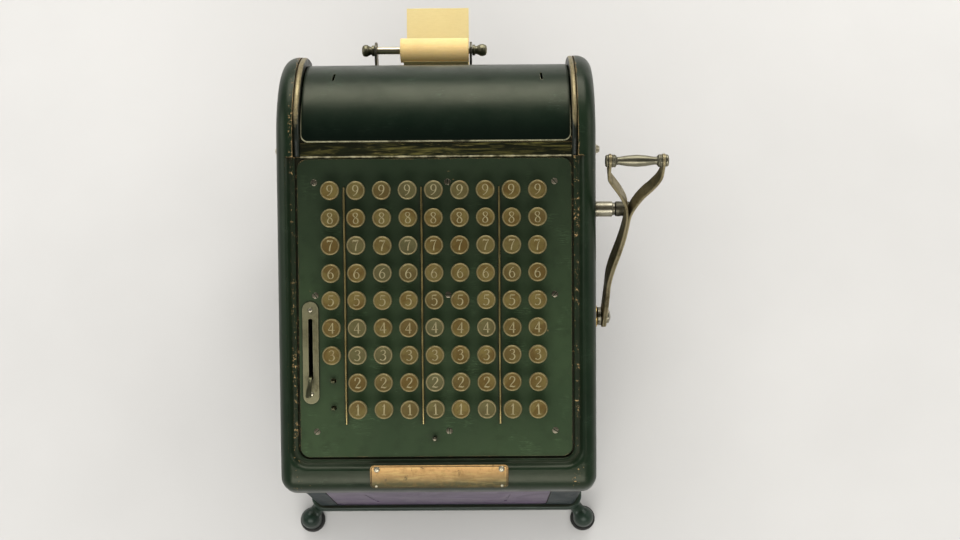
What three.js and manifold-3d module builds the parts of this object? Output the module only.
import * as THREE from 'three';
import { mergeVertices } from 'three/addons/utils/BufferGeometryUtils.js';
import Module from 'manifold-3d';

// Full-keyboard lever adding machine, millimetres, +Z up.
// Working frame: X to the right, Y to the back, Z up from the floor,
// Y = 0 at the front edge of the key plate, X = 0 on the casing's centre line.
// The exported group is moved so that its origin is the bottom centre of the bounding box.

const wasm = await Module();
wasm.setup();

// ---- driving dimensions ----
const OX = 21.49, OY = 186.49;              // bottom centre of the bounding box in the working frame

const SLOPE = 19.81 * Math.PI / 180;       // keyboard slope
const Z_FRONT = 181.25;                    // height of the key plate's front edge
const CASE_HALF_W = 128.6;                 // hood half width
const EDGE_R = 12;                         // hood edge rounding
const HOOD_BOTTOM = 160;
const RIM_N = 7;                           // rim height above the key plate
const PLATE_X0 = -111.7, PLATE_X1 = 108.85, PLATE_LEN = 241.4, PLATE_T = 2.4, PLATE_R = 8;
const BAY_X0 = -113.2, BAY_X1 = 110.3;     // opening in the hood for the plate
const BAND_X0 = -116.8, BAND_X1 = 114.6, BAND_N = 1.6;   // low band of the hood round the plate
const CARRIAGE_DX = -4;                    // paper carriage sits a little to the left
const ARC_U = 258.2, ARC_N = -64.5;          // centre of the roll-top
const R_COVER = 64.5, R_CHEEK = 71.5;
const COVER_U0 = 254.8;                    // front edge of the roll-top, flat over the crossbar

const KEY_X = -1.75, COL_PITCH = 20.64, ROW_U = 40.3, ROW_PITCH = 21.96;
const CAP_R = 7.45, CAP_T = 3.6, CAP_TOP = 12.4;
const STEM_X = 3.0, STEM_U = 1.6, STEM_BOTTOM = -14;

const LOWER_DX = 2;                        // lower body sits a little to the right under the hood
const LOWER_HALF_W = 118, LOWER_Y0 = -23.3, LOWER_Y1 = 329.3, WALL = 3;
const FLANGE_Z0 = 28, FLANGE_Z1 = 38, FLANGE_HALF_W = 124.3, FLANGE_Y0 = -27.7, FLANGE_Y1 = 333.3;
const FOOT_DX = 126.7, FOOT_Y0 = -32.1, FOOT_Y1 = 337.7;

const SHAFT_Y = 138.5, SHAFT_Z = 100;      // handle shaft
const LEAN = 18 * Math.PI / 180;           // handle leans back at rest
const LEVER = 218;                         // shaft to grip
const STRAP_T = 1.9;

const SPINDLE_Y = 357.5, SPINDLE_Z = 194.8, ROLL_R = 10.7;
const PLATEN_Y = 312.6, PLATEN_Z = 145, PLATEN_R = 12;
const SECTOR_Y = 245, SECTOR_Z = 85;
const ACC_Y = 60, ACC_Z = 112;

// ---- materials ----
const mat = (color, roughness, metalness = 0) => new THREE.MeshStandardMaterial({ color, roughness, metalness });
const paint = mat(0x2c3f2a, 0.35), paintDark = mat(0x1d2a1c, 0.45), mauve = mat(0x7d6286, 0.35);
const plateGreen = mat(0x32492f, 0.5), brass = mat(0xb08d4a, 0.4, 0.9), keyMat = mat(0x8d7446, 0.45, 0.4);
const nickel = mat(0xb5aa8e, 0.35, 0.9), steel = mat(0x77787a, 0.4, 0.9), rubber = mat(0x14170f, 0.85);
const paper = mat(0xf0dc98, 0.9), copper = mat(0xc08a4a, 0.35, 0.9), iron = mat(0x4a4a48, 0.6, 0.6);
const blackRubber = mat(0x1c1c1c, 0.8), castDark = mat(0x223021, 0.5);

// ---- helpers ----
function toSolid(geometry) {
  let g = geometry.index ? geometry.toNonIndexed() : geometry.clone();
  for (const k of Object.keys(g.attributes)) if (k !== 'position') g.deleteAttribute(k);
  g = mergeVertices(g, 1e-4);
  const tris = [];
  for (let i = 0; i < g.index.count; i += 3) {
    const [a, b, c] = [g.index.getX(i), g.index.getX(i + 1), g.index.getX(i + 2)];
    if (a !== b && b !== c && a !== c) tris.push(a, b, c);   // the fans at a turned piece's ends hold flat triangles
  }
  return new wasm.Manifold(new wasm.Mesh({
    numProp: 3,
    vertProperties: new Float32Array(g.attributes.position.array),
    triVerts: new Uint32Array(tris),
  }));
}
function toGeometry(solid) {
  const m = solid.getMesh();
  const n = m.numProp, count = m.vertProperties.length / n;
  const pos = new Float32Array(count * 3);
  for (let i = 0; i < count; i++) for (let k = 0; k < 3; k++) pos[i * 3 + k] = m.vertProperties[i * n + k];
  const g = new THREE.BufferGeometry();
  g.setAttribute('position', new THREE.BufferAttribute(pos, 3));
  g.setIndex(new THREE.BufferAttribute(new Uint32Array(m.triVerts), 1));
  g.computeVertexNormals();
  return g;
}
const join = (...gs) => toGeometry(gs.map(toSolid).reduce((a, b) => a.add(b)));
const cut = (base, ...tools) => toGeometry(tools.map(toSolid).reduce((a, b) => a.subtract(b), toSolid(base)));
const common = (a, b) => toGeometry(toSolid(a).intersect(toSolid(b)));

const box = (x0, x1, y0, y1, z0, z1) =>
  new THREE.BoxGeometry(x1 - x0, y1 - y0, z1 - z0).translate((x0 + x1) / 2, (y0 + y1) / 2, (z0 + z1) / 2);
const cylX = (r, x0, x1, y, z, n = 20) =>
  new THREE.CylinderGeometry(r, r, x1 - x0, n).rotateZ(-Math.PI / 2).translate((x0 + x1) / 2, y, z);
const cylZ = (r, x, y, z0, z1, n = 20) =>
  new THREE.CylinderGeometry(r, r, z1 - z0, n).rotateX(Math.PI / 2).translate(x, y, (z0 + z1) / 2);
// turned piece about an axis along X: profile is [x, r] pairs starting and ending on the axis
const turnX = (profile, y, z, n = 18) =>
  new THREE.LatheGeometry(profile.map(([x, r]) => new THREE.Vector2(r, x)), n).rotateZ(-Math.PI / 2).translate(0, y, z);
const turnZ = (profile, x, y, n = 18) =>
  new THREE.LatheGeometry(profile.map(([z, r]) => new THREE.Vector2(r, z)), n).rotateX(Math.PI / 2).translate(x, y, 0);
const shapeOf = (pts) => new THREE.Shape(pts.map(([a, b]) => new THREE.Vector2(a, b)));
// prism along X of an outline in (Y, Z)
function prismX(pts, x0, x1, holes = []) {
  const s = shapeOf(pts);
  for (const h of holes) s.holes.push(new THREE.Path(h.map(([a, b]) => new THREE.Vector2(a, b))));
  const g = new THREE.ExtrudeGeometry(s, { depth: x1 - x0, bevelEnabled: false });
  return g.applyMatrix4(new THREE.Matrix4().makeBasis(
    new THREE.Vector3(0, 1, 0), new THREE.Vector3(0, 0, 1), new THREE.Vector3(1, 0, 0))).translate(x0, 0, 0);
}
function roundedRect(x0, x1, y0, y1, r, seg = 4) {
  const p = [];
  for (const [cx, cy, a0] of [[x1 - r, y0 + r, -90], [x1 - r, y1 - r, 0], [x0 + r, y1 - r, 90], [x0 + r, y0 + r, 180]])
    for (let i = 0; i <= seg; i++) {
      const a = (a0 + 90 * i / seg) * Math.PI / 180;
      p.push([cx + r * Math.cos(a), cy + r * Math.sin(a)]);
    }
  return p;
}
const ring = (cx, cy, r, n = 16) => Array.from({ length: n }, (_, i) => {
  const a = 2 * Math.PI * i / n;
  return [cx + r * Math.cos(a), cy + r * Math.sin(a)];
});
function slab(pts, z0, z1, holes = []) {
  const s = shapeOf(pts);
  for (const h of holes) s.holes.push(new THREE.Path(h.map(([a, b]) => new THREE.Vector2(a, b))));
  return new THREE.ExtrudeGeometry(s, { depth: z1 - z0, bevelEnabled: false }).translate(0, 0, z0);
}

const cK = Math.cos(SLOPE), sK = Math.sin(SLOPE);
const SL = (u, n) => [u * cK - n * sK, Z_FRONT + u * sK + n * cK];   // point of the sloped side view
const [ARC_Y, ARC_Z] = SL(ARC_U, ARC_N);
function arc(r, a0, a1, seg) {
  return Array.from({ length: seg + 1 }, (_, i) => {
    const a = (a0 + (a1 - a0) * i / seg) * Math.PI / 180;
    return [ARC_Y + r * Math.cos(a), ARC_Z + r * Math.sin(a)];
  });
}
const A_TOP = 90 + 19.81;

const machine = new THREE.Group();
machine.position.set(-OX, -OY, 0);
const slope = new THREE.Group();            // local axes: x across, y up the slope, z off the plate
slope.position.set(0, 0, Z_FRONT);
slope.rotation.x = SLOPE;
machine.add(slope);
const lever = new THREE.Group();            // local axes: x across, y along the lever, z towards the operator
lever.position.set(0, SHAFT_Y, SHAFT_Z);
lever.rotation.x = Math.PI / 2 - LEAN;
machine.add(lever);

function piece(name, geometry, material, parent = machine) {
  const m = new THREE.Mesh(geometry, material);
  m.name = name;
  parent.add(m);
  return m;
}

// ---- hood: one casting with side rails, cheeks, front rail, crossbar and rear wall ----
const noseP = [[-26, 168], [-26, 180.5], SL(-15, 6.2), SL(-4, RIM_N)];
function nose(t) {
  const m = 1 - t, w = [m * m * m, 3 * m * m * t, 3 * m * t * t, t * t * t];
  const d = [-3 * m * m, 3 * m * m - 6 * m * t, 6 * m * t - 3 * t * t, 3 * t * t];
  const p = [0, 0], v = [0, 0];
  noseP.forEach((q, i) => { for (let k = 0; k < 2; k++) { p[k] += w[i] * q[k]; v[k] += d[i] * q[k]; } });
  const l = Math.hypot(v[0], v[1]);
  return { p, n: [-v[1] / l, v[0] / l] };
}
const noseLine = Array.from({ length: 7 }, (_, i) => nose(i / 6).p);
const BACK_Y = ARC_Y + R_CHEEK;
// the outline is listed clockwise seen from +X, so it is reversed before use
const outline = [[-26, 120], ...noseLine, ...arc(R_CHEEK, A_TOP, 0, 12), [BACK_Y, 120]].reverse();
let hoodOuter = new THREE.ExtrudeGeometry(shapeOf(outline), {
  depth: 2 * (CASE_HALF_W - EDGE_R), bevelEnabled: true, bevelThickness: EDGE_R, bevelSize: EDGE_R,
  bevelOffset: -EDGE_R, bevelSegments: 4,
}).applyMatrix4(new THREE.Matrix4().makeBasis(
  new THREE.Vector3(0, 1, 0), new THREE.Vector3(0, 0, 1), new THREE.Vector3(1, 0, 0)))
  .translate(-(CASE_HALF_W - EDGE_R), 0, 0);
const cavity = prismX([[-18, 110], [-18, 166], SL(4, -7), SL(ARC_U - 14, -7), SL(ARC_U - 14, -9), SL(ARC_U + 0.4, -9),
  ...arc(R_COVER + 0.8, A_TOP - 0.4, -4, 12), [BACK_Y - 6.2, 110]].reverse(), -123, 123);
const plateBay = slab(roundedRect(BAY_X0, BAY_X1, -1.5, PLATE_LEN + 1.5, PLATE_R + 1.5), -2.9, 40)
  .rotateX(SLOPE).translate(0, 0, Z_FRONT);
const bandBay = slab([...roundedRect(BAND_X0, BAND_X1, -4.8, 60, 11).filter(([, u]) => u < 30), [BAND_X1, PLATE_LEN + 1.5], [BAND_X0, PLATE_LEN + 1.5]]
  .sort((p, q) => Math.atan2(p[1] - 100, p[0]) - Math.atan2(q[1] - 100, q[0])), BAND_N, 40).rotateX(SLOPE).translate(0, 0, Z_FRONT);
const ledgeBay = box(BAY_X0 + 6, BAY_X1 - 6, 5, PLATE_LEN - 5, -30, 0).rotateX(SLOPE).translate(0, 0, Z_FRONT);
const crossTop = box(BAY_X0, BAY_X1, PLATE_LEN - 8, ARC_U + 2, -1.5, 40).rotateX(SLOPE).translate(0, 0, Z_FRONT);
const lipBay = box(-114.2, 113.8, COVER_U0 - 0.4, ARC_U + 2, -2.8, 40).rotateX(SLOPE).translate(0, 0, Z_FRONT);
const coverBay = prismX([SL(ARC_U + 0.4, -12), SL(ARC_U + 0.4, 60), [450, 400], [450, 202], [ARC_Y, 202]].reverse(), -114.2, 113.8);
const trimBay = box(-114.2, 113.8, PLATE_LEN + 1.3, ARC_U + 1, -1.5, 40).rotateX(SLOPE).translate(0, 0, Z_FRONT);
const paperWindowHood = box(-46 + CARRIAGE_DX, 40 + CARRIAGE_DX, 320, 360, 140, 170);
const hood = cut(common(hoodOuter, box(-200, 200, -100, 400, HOOD_BOTTOM, 400)),
  cavity, plateBay, bandBay, ledgeBay, crossTop, lipBay, coverBay, trimBay, paperWindowHood);
piece('hood', hood, paint);

for (const [name, x0, x1] of [['cheek_trim_left', -113.5, -109.0], ['cheek_trim_right', 109.0, 113.1]]) {
  const band = [...arc(R_COVER - 1, A_TOP, 2, 12).reverse(), SL(PLATE_LEN + 2, -1), SL(PLATE_LEN + 2, 7.4), ...arc(R_CHEEK + 1, A_TOP, 2, 14)];
  piece(name, prismX(band.reverse(), x0, x1), brass);
}
piece('roll_top_cover', prismX([SL(COVER_U0, 0), ...arc(R_COVER, A_TOP, -8, 18), ...arc(R_COVER - 2.2, A_TOP, -8, 16).reverse(), SL(COVER_U0, -2.2)].reverse(),
  -108.6, 108.6), paint);

piece('name_plate', (() => {
  const ts = [0.29, 0.42, 0.55, 0.7, 0.83, 0.96];
  const off = (d) => ts.map((t) => { const { p, n } = nose(t); return [p[0] + n[0] * d, p[1] + n[1] * d]; });
  return prismX([...off(1.4), ...off(0.4).reverse()].reverse(), -55, 56.4);
})(), copper);

// ---- key plate with stem slots, screw heads and one bare post ----
const colX = (c) => KEY_X + (c - 5) * COL_PITCH;
const rowU = (r) => ROW_U + (r - 1) * ROW_PITCH;
const slots = [box(-104.3, -100.5, 61.4, 114.6, -5, 5)];
for (let c = 1; c <= 9; c++) for (let r = 1; r <= 9; r++) {
  const a = STEM_X / 2 + 0.5, b = STEM_U / 2 + 0.5, x = colX(c), u = rowU(r);
  slots.push(box(x - a, x + a, u - b, u + b, -5, 5));
}
const plateBody = cut(slab(roundedRect(PLATE_X0, PLATE_X1, 0, PLATE_LEN, PLATE_R), -PLATE_T, 0), ...slots);
const screws = [];
for (const u of [222.5, 131.6, 21]) for (const x of [-98.2, 9.1, 95]) screws.push(cylZ(2.7, x, u, -1.5, 0.5, 10));
screws.push(cylZ(1.6, -2.7, 15.3, -1, 6, 8));
piece('key_plate', join(plateBody, ...screws), plateGreen, slope);

[['divider_left', -74], ['divider_centre', -11.95], ['divider_right', 50.4]].forEach(([name, x]) =>
  piece(name, box(x - 0.75, x + 0.75, 27, 218.6, 0.3, 2.6), brass, slope));

piece('slot_plate', slab(roundedRect(-109.4, -95.2, 43.9, 126.8, 7, 5), 0.3, 1.5,
  [[[-104.1, 63], [-104.1, 113], [-100.7, 113], [-100.7, 63]]]), nickel, slope);
piece('repeat_lever', (() => {
  const pts = [[67, -16], [67, 4.5], [60, 9], [50.5, 11.4], [50, 9.4], [59, 6.2], [63.6, 2.4], [63.6, -16]];
  return prismX(pts, -103.5, -101.3);
})(), brass, slope);

// ---- keys ----
function keyGeometry(c, r, bare = false) {
  const x = colX(c), u = rowU(r);
  const top = bare ? 6.5 : CAP_TOP - 1;
  const stem = box(x - STEM_X / 2, x + STEM_X / 2, u - STEM_U / 2, u + STEM_U / 2, STEM_BOTTOM, top);
  return bare ? [stem] : [stem, cylZ(CAP_R, x, u, CAP_TOP - CAP_T, CAP_TOP, 10)];
}
for (let r = 1; r <= 9; r++) {
  const u = rowU(r), parts = [box(colX(1) - 2.5, colX(8) + 2.5, u - 1.2, u + 1.2, STEM_BOTTOM - 2, STEM_BOTTOM + 2)];
  for (let c = 1; c <= 8; c++) parts.push(...keyGeometry(c, r, c === 1 && r <= 2));
  piece(`key_row_${r}`, join(...parts), keyMat, slope);
  piece(`key_units_${r}`, join(...keyGeometry(9, r), box(colX(9) - 2.5, colX(9) + 2.5, u - 1.2, u + 1.2, STEM_BOTTOM - 2, STEM_BOTTOM + 2)), keyMat, slope);
}

// ---- lower case, panels, base ----
const LX0 = LOWER_DX - LOWER_HALF_W, LX1 = LOWER_DX + LOWER_HALF_W;
const lower = cut(join(box(LX0, LX1, LOWER_Y0, LOWER_Y1, FLANGE_Z1 + 0.3, 157),
  slab(roundedRect(-126.8, 126.8, -25.2, LOWER_Y1 + 5.2, 10), 154.6, 159.7)),
  box(LX0 + WALL, LX1 - WALL, LOWER_Y0 + WALL, LOWER_Y1 - WALL, 30, 170),
  box(-97.1, 93.1, -40, 0, 42, 149.5),
  box(LX0 - 10, LX0 + 20, 8, 298, 48, 146), box(LX1 - 20, LX1 + 10, 8, 298, 48, 146),
  box(-92, 96, 318, 350, 48, 118), box(-46 + CARRIAGE_DX, 40 + CARRIAGE_DX, 318, 360, 124, 170));
piece('lower_case', lower, paintDark);
// pressed panel: its raised field stands in the opening, its edge lies behind the case wall
piece('front_panel', join(box(-101, 97, -20, -17.6, 40, 152.5), box(-96.8, 92.8, -22.9, -19, 42.3, 149.2)), mauve);
piece('left_panel', box(LX0 + WALL + 0.3, LX0 + WALL + 2.3, 4, 302, 44, 150), castDark);
piece('right_panel', cut(box(LX1 - WALL - 2.3, LX1 - WALL - 0.3, 4, 302, 44, 150),
  cylX(10.4, 100, 130, SHAFT_Y, SHAFT_Z, 24)), castDark);
piece('rear_panel', box(-96, 100, LOWER_Y1 - WALL - 2.3, LOWER_Y1 - WALL - 0.3, 44, 122), castDark);

const feet = [['front_left', -FOOT_DX, FOOT_Y0], ['front_right', FOOT_DX, FOOT_Y0], ['rear_left', -FOOT_DX, FOOT_Y1], ['rear_right', FOOT_DX, FOOT_Y1]];
const flange = slab(roundedRect(LOWER_DX - FLANGE_HALF_W, LOWER_DX + FLANGE_HALF_W, FLANGE_Y0, FLANGE_Y1, 12), FLANGE_Z0, FLANGE_Z1,
  [roundedRect(LOWER_DX - 108, LOWER_DX + 108, -12, 317.3, 6).reverse()]);
piece('base_frame', join(flange, ...feet.map(([, dx, y]) =>
  turnZ([[6.3, 0], [6.3, 9.4], [14, 10.4], [20, 9.6], [24.5, 6.8], [27.2, 0]], LOWER_DX + dx, y, 12)),
  ...feet.map(([, dx, y]) => {
    // neck from the flange corner down to the foot
    const ix = LOWER_DX + Math.sign(dx) * (FLANGE_HALF_W - 12), iy = y < 0 ? FLANGE_Y0 + 12 : FLANGE_Y1 - 12;
    const ox = LOWER_DX + dx, len = Math.hypot(ox - ix, y - iy), a = Math.atan2(y - iy, ox - ix);
    return prismX([[-5.5, 15], [5.5, 15], [5.5, 33], [-5.5, 33]], 0, len).rotateZ(a).translate(ix, iy, 0);
  })), paint);
piece('bottom_plate', slab(roundedRect(LOWER_DX - 107.6, LOWER_DX + 107.6, -11.6, 316.9, 5.6), 30, 32), castDark);
for (const [n, dx, y] of feet)
  piece(`rubber_foot_${n}`, turnZ([[0, 0], [0, 11.4], [5.2, 11.8], [6, 11], [6, 0]], LOWER_DX + dx, y, 18), rubber);

// ---- internal frames ----
const H = (y, z, r) => ring(y, z, r, 12);
const frameOutline = [[10, 32.3], [313, 32.3], [325, 60], [325, 150], [313, 160], [298, 150], [282, 125], [40, 136], [10, 120]];
for (const [name, x0] of [['side_frame_left', -104], ['side_frame_right', 101]])
  piece(name, prismX(frameOutline, x0, x0 + 3, [H(SHAFT_Y, SHAFT_Z, 6.5), H(ACC_Y, ACC_Z, 4.5), H(SECTOR_Y, SECTOR_Z, 5.5), H(PLATEN_Y, PLATEN_Z, 4.5)]), iron);

// ---- handle, main shaft and drive arm ----
piece('main_shaft', turnX([[-106, 0], [-106, 6], [140.2, 6], [140.2, 8.2], [143.5, 8.2], [143.5, 4], [148.3, 4], [148.3, 6.6], [151.1, 6.2], [152.1, 4], [152.1, 0]], SHAFT_Y, SHAFT_Z, 16), nickel);
piece('shaft_bushing', cut(join(cylX(9.9, 112, 139.7, SHAFT_Y, SHAFT_Z, 18), cylX(13, 120.4, 126, SHAFT_Y, SHAFT_Z, 18)),
  cylX(6.5, 100, 150, SHAFT_Y, SHAFT_Z, 16)), brass);
piece('drive_arm', (() => {
  const p = [];
  for (let i = 0; i <= 8; i++) { const a = (150 + 200 * i / 8) * Math.PI / 180; p.push([12 * Math.cos(a), 12 * Math.sin(a)]); }
  for (let i = 0; i <= 8; i++) { const a = (25 + 60 * i / 8) * Math.PI / 180; p.push([46 * Math.cos(a), 46 * Math.sin(a)]); }
  return prismX(p.map(([a, b]) => [a + SHAFT_Y, b + SHAFT_Z]), 24, 29, [H(SHAFT_Y, SHAFT_Z, 6.5)]);
})(), steel);

const halfWidth = (s) => s < 0 ? Math.sqrt(Math.max(0.5, 100 - s * s)) : s > LEVER ? Math.sqrt(Math.max(0.5, 30 - (s - LEVER) ** 2)) : 10 - 4.5 * Math.min(1, s / 200);
function strap(path) {
  const curve = new THREE.CatmullRomCurve3(path.map(([s, x]) => new THREE.Vector3(x, s, 0)), false, 'centripetal');
  const pts = [];
  for (const s of [-9.7, -7.5, -4]) pts.push([path[0][1], s]);
  for (let i = 0; i <= 22; i++) { const q = curve.getPoint(i / 22); pts.push([q.x, q.y]); }
  for (const d of [2, 4, 5.3]) pts.push([path[path.length - 1][1], LEVER + d]);
  const a = [], b = [];
  pts.forEach(([x, s], i) => {
    const p0 = pts[Math.max(0, i - 1)], p1 = pts[Math.min(pts.length - 1, i + 1)];
    const tx = p1[0] - p0[0], ts = p1[1] - p0[1], l = Math.hypot(tx, ts);
    a.push([x + ts / l * STRAP_T / 2, s - tx / l * STRAP_T / 2]);
    b.push([x - ts / l * STRAP_T / 2, s + tx / l * STRAP_T / 2]);
  });
  const g = new THREE.ExtrudeGeometry(shapeOf([...a, ...b.reverse()]), { depth: 2, bevelEnabled: false }).translate(0, 0, -1);
  const p = g.attributes.position;
  for (let i = 0; i < p.count; i++) p.setZ(i, p.getZ(i) * halfWidth(p.getY(i)));
  g.computeVertexNormals();
  return g;
}
const holeHub = (x0, x1) => new THREE.CylinderGeometry(4.4, 4.4, x1 - x0, 16).rotateZ(-Math.PI / 2).translate((x0 + x1) / 2, 0, 0);
const holeGrip = (x0, x1) => new THREE.CylinderGeometry(3.3, 3.3, x1 - x0, 12).rotateZ(-Math.PI / 2).translate((x0 + x1) / 2, LEVER, 0);
piece('handle_strap_inner', cut(strap([[0, 144.75], [40, 144.6], [62, 144.3], [82, 146], [106, 149.4], [125, 151.6], [142, 152.7], [155, 152.8], [167, 151], [180.5, 145.6], [193.8, 138.4], [200, 135.3], [205, 134.6], [LEVER, 134.6]]),
  holeHub(130, 160), holeGrip(125, 145)), nickel, lever);
piece('handle_strap_outer', cut(strap([[0, 146.95], [40, 146.8], [62, 146.5], [82, 148.2], [106, 151.6], [125, 153.8], [142, 154.9], [153, 155.4], [160, 156.6], [167, 158.7], [178, 163.4], [188.5, 169.8], [197, 174], [203, 175.6], [LEVER, 175.8]]),
  holeHub(130, 160), holeGrip(165, 185)), nickel, lever);
piece('handle_grip', new THREE.LatheGeometry([[131.2, 0], [131.2, 4.2], [133.35, 4.8], [133.35, 2.9], [135.85, 2.9], [135.85, 5], [138.9, 5], [140.4, 3], [148, 4.1], [155, 4.7], [162, 4.1], [169.9, 3], [171.4, 5], [174.55, 5], [174.55, 2.9], [177.05, 2.9], [177.05, 4.8], [179.3, 4.2], [179.3, 0]]
  .map(([x, r]) => new THREE.Vector2(r, x)), 12).rotateZ(-Math.PI / 2).translate(0, LEVER, 0), nickel, lever);

// ---- stop post with bumper, side screws ----
const along = (s, w) => [SHAFT_Y + s * Math.sin(LEAN) + w * Math.cos(LEAN), SHAFT_Z + s * Math.cos(LEAN) - w * Math.sin(LEAN)];
const [POST_Y, POST_Z] = along(140, 14.2);
piece('stop_post', turnX([[128.9, 0], [128.9, 5.8], [145.4, 5.8], [145.4, 3.2], [157.6, 3.2], [157.6, 0]], POST_Y, POST_Z, 16), nickel);
piece('stop_bumper', cut(cylX(6.2, 145.8, 157.2, POST_Y, POST_Z, 18), cylX(3.6, 140, 160, POST_Y, POST_Z, 14)), steel);
piece('side_screw_left', turnX([[-134.6, 0], [-134.6, 3], [-133.8, 4], [-130, 4], [-130, 2.6], [-128.9, 2.6], [-128.9, 0]], 247, 232, 14), steel);
piece('side_screw_right', turnX([[128.9, 0], [128.9, 2.6], [130, 2.6], [130, 4], [133.8, 4], [134.6, 3], [134.6, 0]], 247, 232, 14), steel);

// ---- paper carriage at the back ----
const BRK_Y = BACK_Y + 0.3;
const bracketOutline = [[BRK_Y, 172.5], [BRK_Y, 187], [346, 198], [352, 202], [357.5, 203], [363.4, 200], [365, 193], [361, 187], [350, 181], [343, 172.5]].reverse();
piece('spindle_bracket_left', prismX(bracketOutline.slice().reverse(), -53 + CARRIAGE_DX, -51 + CARRIAGE_DX, [H(SPINDLE_Y, SPINDLE_Z, 3.5)]), steel);
piece('spindle_bracket_right', prismX(bracketOutline.slice().reverse(), 30.6 + CARRIAGE_DX, 32.6 + CARRIAGE_DX, [H(SPINDLE_Y, SPINDLE_Z, 3.5)]), steel);
piece('paper_spindle', turnX([[-64.6, 0], [-64.6, 4.2], [-63.6, 5.4], [-58.2, 5.4], [-57, 3.6], [-55.8, 3.6], [-55.8, 4.8], [-53.4, 4.8], [-53.4, 3.1],
  [33, 3.1], [33, 4.8], [35.4, 4.8], [35.4, 3.6], [37, 3.6], [38.2, 5.4], [44.8, 5.4], [45.9, 4.2], [45.9, 0]]
  .map(([x, q]) => [x + CARRIAGE_DX, q]), SPINDLE_Y, SPINDLE_Z, 12), steel);
piece('paper_roll', cut(cylX(ROLL_R, -30.5 + CARRIAGE_DX, 29.7 + CARRIAGE_DX, SPINDLE_Y, SPINDLE_Z, 28), cylX(3.5, -40, 40, SPINDLE_Y, SPINDLE_Z, 16)), paper);
piece('platen', turnX([[-106, 0], [-106, 4], [-70, 4], [-70, PLATEN_R], [70, PLATEN_R], [70, 4], [106, 4], [106, 0]], PLATEN_Y, PLATEN_Z, 20), blackRubber);
piece('paper_tape', (() => {
  const line = [[SPINDLE_Y - ROLL_R - 0.65, 196], [SPINDLE_Y - ROLL_R - 0.65, 166], [345, 161.5], [340, 158.6], [326, 158.0]];
  for (let i = 0; i <= 12; i++) {
    const a = (90 + (197 * i) / 12) * Math.PI / 180;
    line.push([PLATEN_Y + (PLATEN_R + 0.65) * Math.cos(a), PLATEN_Z + (PLATEN_R + 0.65) * Math.sin(a)]);
  }
  const t0 = line[line.length - 1], dir = [Math.cos(17 * Math.PI / 180), Math.sin(17 * Math.PI / 180)];
  for (const d of [20, 50, 78, 105.0975]) line.push([t0[0] + dir[0] * d, t0[1] + dir[1] * d]);
  const a = [], b = [], T = 0.25;
  line.forEach((p, i) => {
    const p0 = line[Math.max(0, i - 1)], p1 = line[Math.min(line.length - 1, i + 1)];
    const ty = p1[0] - p0[0], tz = p1[1] - p0[1], l = Math.hypot(ty, tz);
    a.push([p[0] + tz / l * T, p[1] - ty / l * T]);
    b.push([p[0] - tz / l * T, p[1] + ty / l * T]);
  });
  return prismX([...a, ...b.reverse()], -27.8 + CARRIAGE_DX, 29.4 + CARRIAGE_DX);
})(), paper);

// ---- calculating mechanism ----
piece('accumulator', (() => {
  const parts = [cylX(4, -106, 106, ACC_Y, ACC_Z, 10)];
  for (let c = 1; c <= 9; c++) {
    const p = [];
    for (let i = 0; i < 10; i++) for (const [da, r] of [[-12, 12], [0, 15.5]]) {
      const a = (36 * i + da) * Math.PI / 180;
      p.push([ACC_Y + r * Math.cos(a), ACC_Z + r * Math.sin(a)]);
    }
    parts.push(prismX(p, colX(c) - 1.5, colX(c) + 1.5));
  }
  return join(...parts);
})(), brass);
piece('type_sectors', (() => {
  const parts = [cylX(5, -106, 106, SECTOR_Y, SECTOR_Z, 10)];
  for (let c = 1; c <= 9; c++) {
    const p = [[-7, -4], [4, -8]];
    for (let i = 0; i <= 4; i++) { const a = (16 + 40 * i / 4) * Math.PI / 180; p.push([74 * Math.cos(a), 74 * Math.sin(a)]); }
    p.push([-4, 8]);
    parts.push(prismX(p.map(([a, b]) => [a + SECTOR_Y, b + SECTOR_Z]), colX(c) - 1, colX(c) + 1));
  }
  return join(...parts);
})(), steel);

export default machine;
